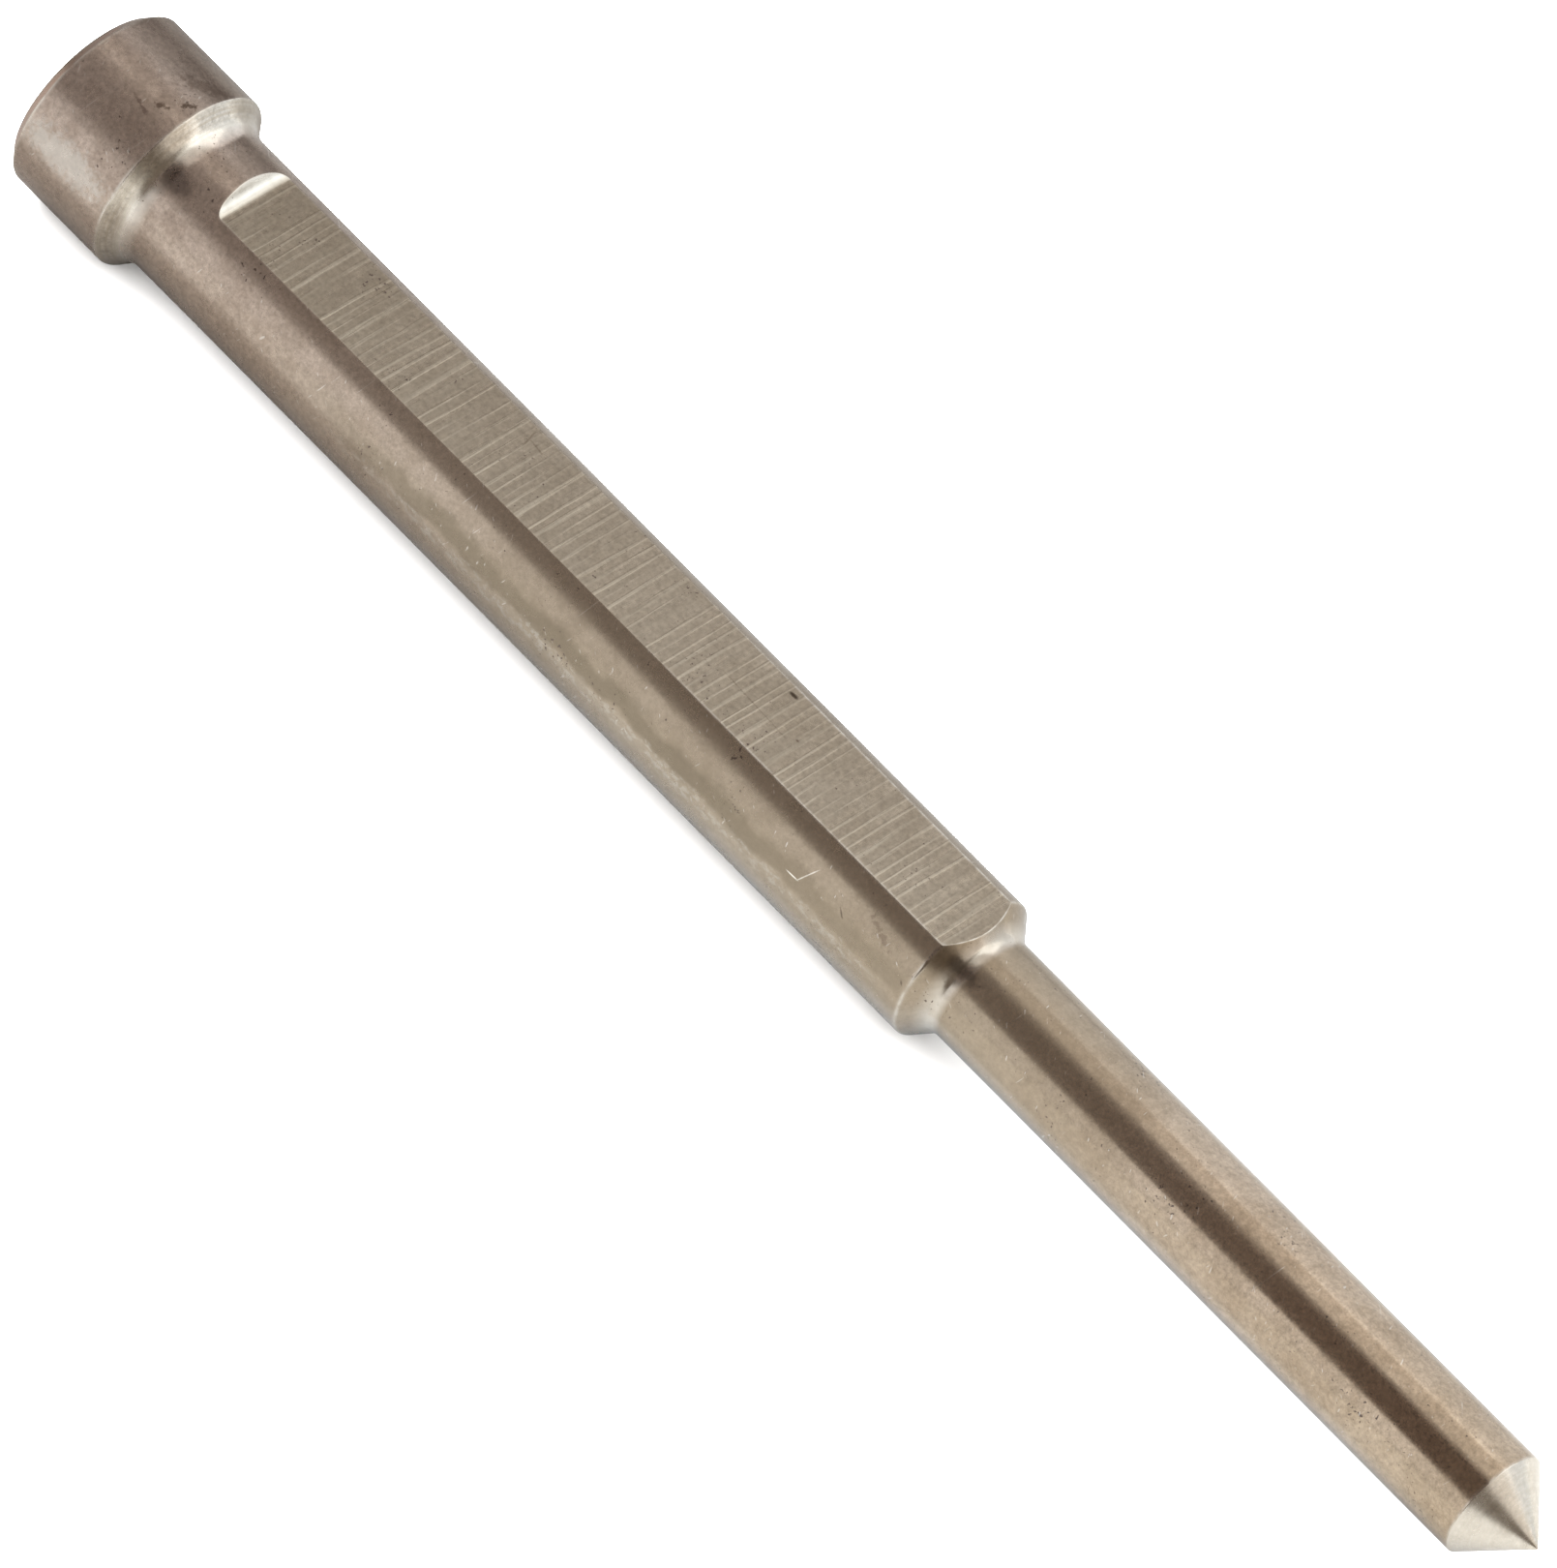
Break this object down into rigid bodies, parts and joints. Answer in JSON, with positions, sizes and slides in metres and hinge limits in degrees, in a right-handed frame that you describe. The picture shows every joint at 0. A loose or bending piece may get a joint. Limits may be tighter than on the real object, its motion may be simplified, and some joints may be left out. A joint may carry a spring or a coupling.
{
  "type": "annular cutter pilot pin",
  "caption": "Turned steel pilot pin with a chamfered head, a shank milled flat on one side, a stepped-down nose and a conical point.",
  "frame": {"origin": "on the pin's axis, at the centre of the head's flat end face", "axes": "+X along the axis from the head to the point, +Z the outward normal of the milled flat, +Y completes a right-handed frame"},
  "size_m": [0.077, 0.008, 0.008],
  "materials": {
    "tarnished_steel": "ground and turned hardened tool steel, satin, with warm grey-brown tarnish, fine pits and brighter freshly turned chamfers"
  },
  "bodies": {
    "root": {"pilot_pin": "tarnished_steel"}
  },
  "joints": []
}
